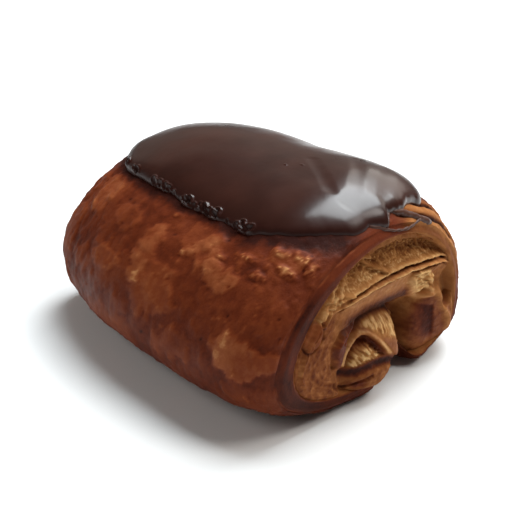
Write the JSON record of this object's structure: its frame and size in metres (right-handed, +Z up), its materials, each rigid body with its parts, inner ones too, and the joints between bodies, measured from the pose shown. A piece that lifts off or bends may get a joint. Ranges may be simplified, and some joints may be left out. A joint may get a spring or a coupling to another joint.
{
  "type": "chocolate-iced pain au chocolat",
  "caption": "Plump laminated pastry rolled in from both ends, with a thick wrap arching over two rolls and glossy chocolate icing on its back.",
  "frame": {"origin": "middle of the bounding box, on the surface the pastry rests on", "axes": "+X along the rolls towards the end face that the picture shows, +Y across them, +Z up"},
  "size_m": [0.099, 0.0846, 0.0535],
  "materials": {
    "crust": "egg-washed and baked, satin to glossy, rough where the crumb is open",
    "chocolate": "smooth and glossy"
  },
  "bodies": {
    "root": {"pastry": "crust", "icing": "chocolate"}
  },
  "joints": []
}
